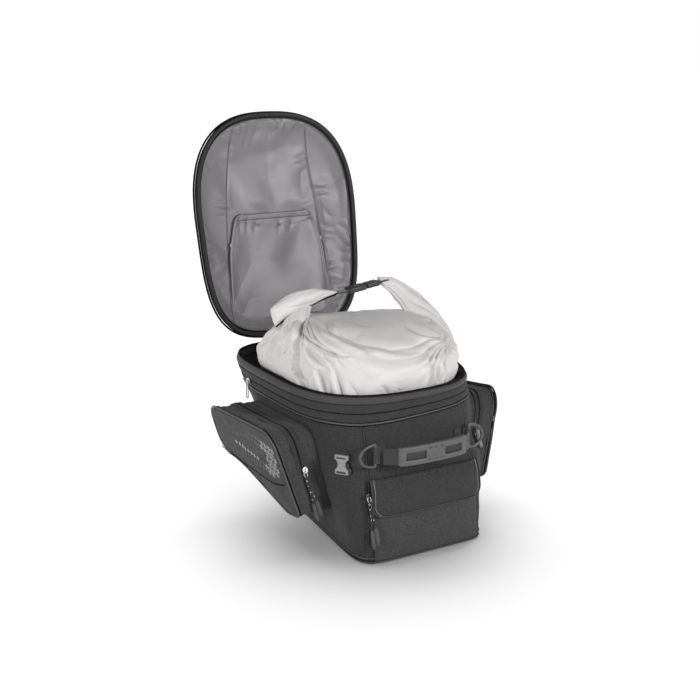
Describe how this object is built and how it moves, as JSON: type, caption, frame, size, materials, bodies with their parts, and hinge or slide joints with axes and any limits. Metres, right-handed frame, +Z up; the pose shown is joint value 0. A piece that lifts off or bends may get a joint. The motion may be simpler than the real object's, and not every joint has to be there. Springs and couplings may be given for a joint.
{
  "type": "motorcycle tail bag",
  "caption": "Tapered fabric tail bag for a passenger seat, with hinged zip lid, expanding collar, zipped side pockets, rear flap pocket, carry handle and roll-top dry bag.",
  "frame": {"origin": "middle of the flat base, on the surface it rests on", "axes": "+Z up, +Y forward to the lid's hinge end, -Y the rear with the handle, +X right"},
  "size_m": [0.446, 0.5474, 0.6695],
  "materials": {
    "bag_fabric": "woven",
    "rim_fabric": "coated",
    "board": "matte",
    "lining_satin": "satin",
    "zip_tape": "woven",
    "piping": "satin",
    "webbing": "woven",
    "grip_rubber": "satin",
    "buckle_plastic": "satin",
    "slider_metal": "polished",
    "ring_metal": "satin",
    "cord": "braided",
    "dry_bag_nylon": "coated nylon"
  },
  "bodies": {
    "bag": {"base_panel": "bag_fabric", "base_board": "board", "base_piping": "piping", "rear_panel": "bag_fabric", "left_wall": "bag_fabric", "right_wall": "bag_fabric", "front_wall": "bag_fabric", "compartment_lining": "zip_tape", "collar_band": "bag_fabric", "collar_piping": "piping", "left_pocket_gusset": "bag_fabric", "right_pocket_gusset": "bag_fabric", "left_pocket_zip": "zip_tape", "right_pocket_zip": "zip_tape", "rear_pocket_panel": "bag_fabric", "rear_pocket_zip": "zip_tape", "left_handle_anchor": "webbing", "right_handle_anchor": "webbing", "left_buckle_tab": "webbing", "right_buckle_tab": "webbing", "rear_zip_slider": "slider_metal"},
    "collar": {"zip_band": "bag_fabric", "rim_band": "rim_fabric", "rim_zip_tape": "zip_tape", "expansion_gusset": "bag_fabric", "lid_hinge_strip": "bag_fabric"},
    "lid": {"lid_shell": "bag_fabric", "lid_board": "board", "lid_lining": "lining_satin", "lid_zip_tape": "zip_tape", "lid_piping": "piping", "lid_pocket": "lining_satin"},
    "expansion_slider": {"expansion_slider": "slider_metal"},
    "expansion_pull": {"expansion_pull": "slider_metal"},
    "left_lid_slider": {"left_lid_slider": "slider_metal"},
    "right_lid_slider": {"right_lid_slider": "slider_metal"},
    "left_pocket_cover": {"left_pocket_cover": "bag_fabric", "left_pocket_piping": "piping"},
    "right_pocket_cover": {"right_pocket_cover": "bag_fabric", "right_pocket_piping": "piping"},
    "left_pocket_slider": {"left_pocket_slider": "slider_metal"},
    "left_pocket_pull": {"left_pocket_pull": "cord"},
    "right_pocket_slider": {"right_pocket_slider": "slider_metal"},
    "right_pocket_pull": {"right_pocket_pull": "cord"},
    "rear_flap": {"rear_flap": "bag_fabric"},
    "rear_zip_pull": {"rear_zip_pull": "cord"},
    "handle": {"handle_strap": "webbing", "handle_grip": "grip_rubber"},
    "left_d_ring": {"left_d_ring": "ring_metal"},
    "right_d_ring": {"right_d_ring": "ring_metal"},
    "left_corner_buckle": {"left_corner_buckle": "buckle_plastic"},
    "right_corner_buckle": {"right_corner_buckle": "buckle_plastic"},
    "dry_bag": {"dry_bag_lower": "dry_bag_nylon", "dry_bag_upper": "dry_bag_nylon", "roll_top_left": "dry_bag_nylon", "roll_top_right": "dry_bag_nylon", "roll_buckle_socket": "buckle_plastic"},
    "roll_buckle_plug": {"roll_buckle_plug": "buckle_plastic"}
  },
  "joints": [
    {"name": "collar_rise", "type": "slide", "parent": "bag", "child": "collar", "axis": [0, 0, 1], "range_m": [0, 0.04]},
    {"name": "lid_hinge", "type": "hinge", "parent": "collar", "child": "lid", "pos_m": [0, 0.2045, 0.2672], "axis": [-1, 0, 0], "range_deg": [-100, 0], "deforming": ["dry_bag_upper", "roll_top_left", "roll_top_right", "roll_buckle_socket", "roll_buckle_plug"]},
    {"name": "expansion_slider_travel", "type": "slide", "parent": "bag", "child": "expansion_slider", "axis": [-0.0563, -0.9984, 0], "range_m": [0, 0.07]},
    {"name": "expansion_pull_swing", "type": "hinge", "parent": "expansion_slider", "child": "expansion_pull", "pos_m": [-0.15986, 0.072, 0.2352], "axis": [0, 1, 0], "range_deg": [0, 80]},
    {"name": "left_lid_slider_travel", "type": "slide", "parent": "collar", "child": "left_lid_slider", "axis": [-1, 0, 0], "range_m": [0, 0.015]},
    {"name": "left_pocket_cover_hinge", "type": "hinge", "parent": "bag", "child": "left_pocket_cover", "pos_m": [-0.14895, 0.001, 0.094], "axis": [0.025, -0.9531, -0.3015], "range_deg": [0, 35]},
    {"name": "left_pocket_slider_travel", "type": "slide", "parent": "bag", "child": "left_pocket_slider", "axis": [-0.224, 0.0983, 0.9696], "range_m": [0, 0.03]},
    {"name": "left_pocket_pull_swing", "type": "hinge", "parent": "left_pocket_slider", "child": "left_pocket_pull", "pos_m": [-0.16561, -0.13678, 0.133], "axis": [-1, 0, 0], "range_deg": [0, 60]},
    {"name": "right_lid_slider_travel", "type": "slide", "parent": "collar", "child": "right_lid_slider", "axis": [1, 0, 0], "range_m": [0, 0.015]},
    {"name": "right_pocket_cover_hinge", "type": "hinge", "parent": "bag", "child": "right_pocket_cover", "pos_m": [0.14895, 0.001, 0.094], "axis": [0.025, 0.9531, 0.3015], "range_deg": [0, 35]},
    {"name": "right_pocket_slider_travel", "type": "slide", "parent": "bag", "child": "right_pocket_slider", "axis": [0.224, 0.0983, 0.9696], "range_m": [0, 0.03]},
    {"name": "right_pocket_pull_swing", "type": "hinge", "parent": "right_pocket_slider", "child": "right_pocket_pull", "pos_m": [0.16561, -0.13678, 0.133], "axis": [-1, 0, 0], "range_deg": [0, 60]},
    {"name": "rear_flap_hinge", "type": "hinge", "parent": "bag", "child": "rear_flap", "pos_m": [0, -0.21501, 0.1375], "axis": [-1, 0, 0], "range_deg": [0, 90]},
    {"name": "rear_pull_swing", "type": "hinge", "parent": "bag", "child": "rear_zip_pull", "pos_m": [-0.1005, -0.21713, 0.1047], "axis": [-1, 0, 0], "range_deg": [0, 60]},
    {"name": "handle_swing", "type": "hinge", "parent": "bag", "child": "handle", "pos_m": [0, -0.2135, 0.175], "axis": [-1, 0, 0], "range_deg": [-25, 25]},
    {"name": "left_d_ring_swing", "type": "hinge", "parent": "bag", "child": "left_d_ring", "pos_m": [-0.0885, -0.2135, 0.175], "axis": [0, 0, 1], "range_deg": [0, 95]},
    {"name": "right_d_ring_swing", "type": "hinge", "parent": "bag", "child": "right_d_ring", "pos_m": [0.0885, -0.2135, 0.175], "axis": [0, 0, -1], "range_deg": [0, 95]},
    {"name": "left_corner_buckle_swing", "type": "hinge", "parent": "bag", "child": "left_corner_buckle", "pos_m": [-0.12911, -0.18307, 0.176], "axis": [-0.5552, 0.8317, 0], "range_deg": [0, 80]},
    {"name": "right_corner_buckle_swing", "type": "hinge", "parent": "bag", "child": "right_corner_buckle", "pos_m": [0.12911, -0.18307, 0.176], "axis": [-0.5552, -0.8317, 0], "range_deg": [0, 80]},
    {"name": "dry_bag_lift", "type": "slide", "parent": "bag", "child": "dry_bag", "axis": [0, 0, 1], "range_m": [0, 0.3]},
    {"name": "roll_buckle_release", "type": "slide", "parent": "dry_bag", "child": "roll_buckle_plug", "axis": [0.9903, 0, 0.1392], "range_m": [0, 0.03]}
  ]
}
